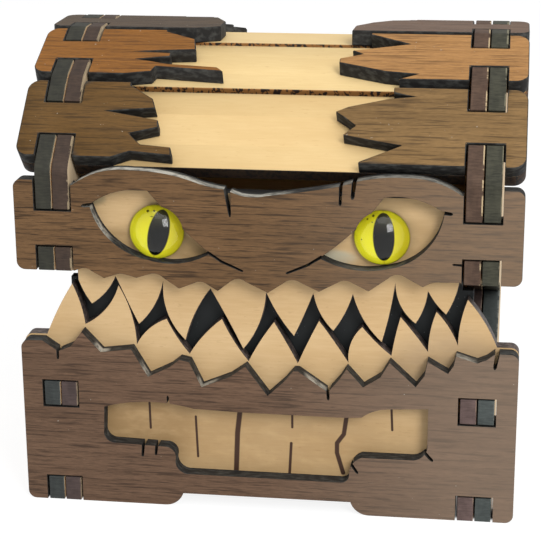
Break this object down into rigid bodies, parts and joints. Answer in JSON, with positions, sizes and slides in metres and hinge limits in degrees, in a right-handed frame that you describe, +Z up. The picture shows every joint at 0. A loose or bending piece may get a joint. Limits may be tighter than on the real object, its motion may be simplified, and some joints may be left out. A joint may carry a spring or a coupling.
{
  "type": "dice storage chest",
  "caption": "Small hinged wooden chest cut from flat sheet, a toothed monster mouth and glass eyes on its front, a broken plank lid over a cavity for dice.",
  "frame": {"origin": "centre of the bounding box in plan, on the plane the feet stand on", "axes": "+X to the viewer's right along the width, +Y from the toothed front to the hinged back, +Z up"},
  "size_m": [0.094, 0.0814, 0.0877],
  "materials": {
    "walnut_sheet": "satin",
    "maple_sheet": "satin",
    "black_board": "matte",
    "iris_enamel": "gloss",
    "eye_glass": "gloss",
    "hinge_brass": "satin"
  },
  "bodies": {
    "base": {"lower_jaw_front": "walnut_sheet", "lower_teeth_sheet": "maple_sheet", "base_back_outer": "walnut_sheet", "base_back_inner": "maple_sheet", "base_floor": "maple_sheet", "base_side_outer_left": "maple_sheet", "base_side_outer_right": "maple_sheet", "base_side_inner_left": "maple_sheet", "base_side_inner_right": "maple_sheet", "hinge_leaf_base_left": "hinge_brass", "hinge_leaf_base_right": "hinge_brass", "hinge_pin_left": "hinge_brass", "hinge_pin_right": "hinge_brass", "hinge_screws_base": "hinge_brass"},
    "lid": {"upper_jaw_front": "walnut_sheet", "upper_teeth_sheet": "maple_sheet", "mouth_backing": "black_board", "lid_back_outer": "walnut_sheet", "lid_back_inner": "maple_sheet", "eye_iris_left": "iris_enamel", "eye_iris_right": "iris_enamel", "eye_glass_left": "eye_glass", "eye_glass_right": "eye_glass", "lid_side_outer_left": "maple_sheet", "lid_side_outer_right": "maple_sheet", "lid_side_inner_left": "maple_sheet", "lid_side_inner_right": "maple_sheet", "lid_slat_a": "maple_sheet", "lid_slat_b": "maple_sheet", "lid_slat_c": "maple_sheet", "lid_slat_d": "maple_sheet", "lid_slat_e": "maple_sheet", "lid_plank_a_left": "walnut_sheet", "lid_plank_a_right": "walnut_sheet", "lid_plank_b_left": "walnut_sheet", "lid_plank_b_right": "walnut_sheet", "lid_plank_c_left": "walnut_sheet", "lid_plank_c_right": "walnut_sheet", "lid_plank_d_left": "walnut_sheet", "lid_plank_d_right": "walnut_sheet", "lid_plank_e_left": "walnut_sheet", "lid_plank_e_right": "walnut_sheet", "hinge_leaf_lid_left": "hinge_brass", "hinge_leaf_lid_right": "hinge_brass", "hinge_screws_lid": "hinge_brass"}
  },
  "joints": [
    {"name": "lid_hinge", "type": "hinge", "parent": "base", "child": "lid", "pos_m": [0, 0.03948, 0.03235], "axis": [-1, 0, 0], "range_deg": [0, 105]}
  ]
}
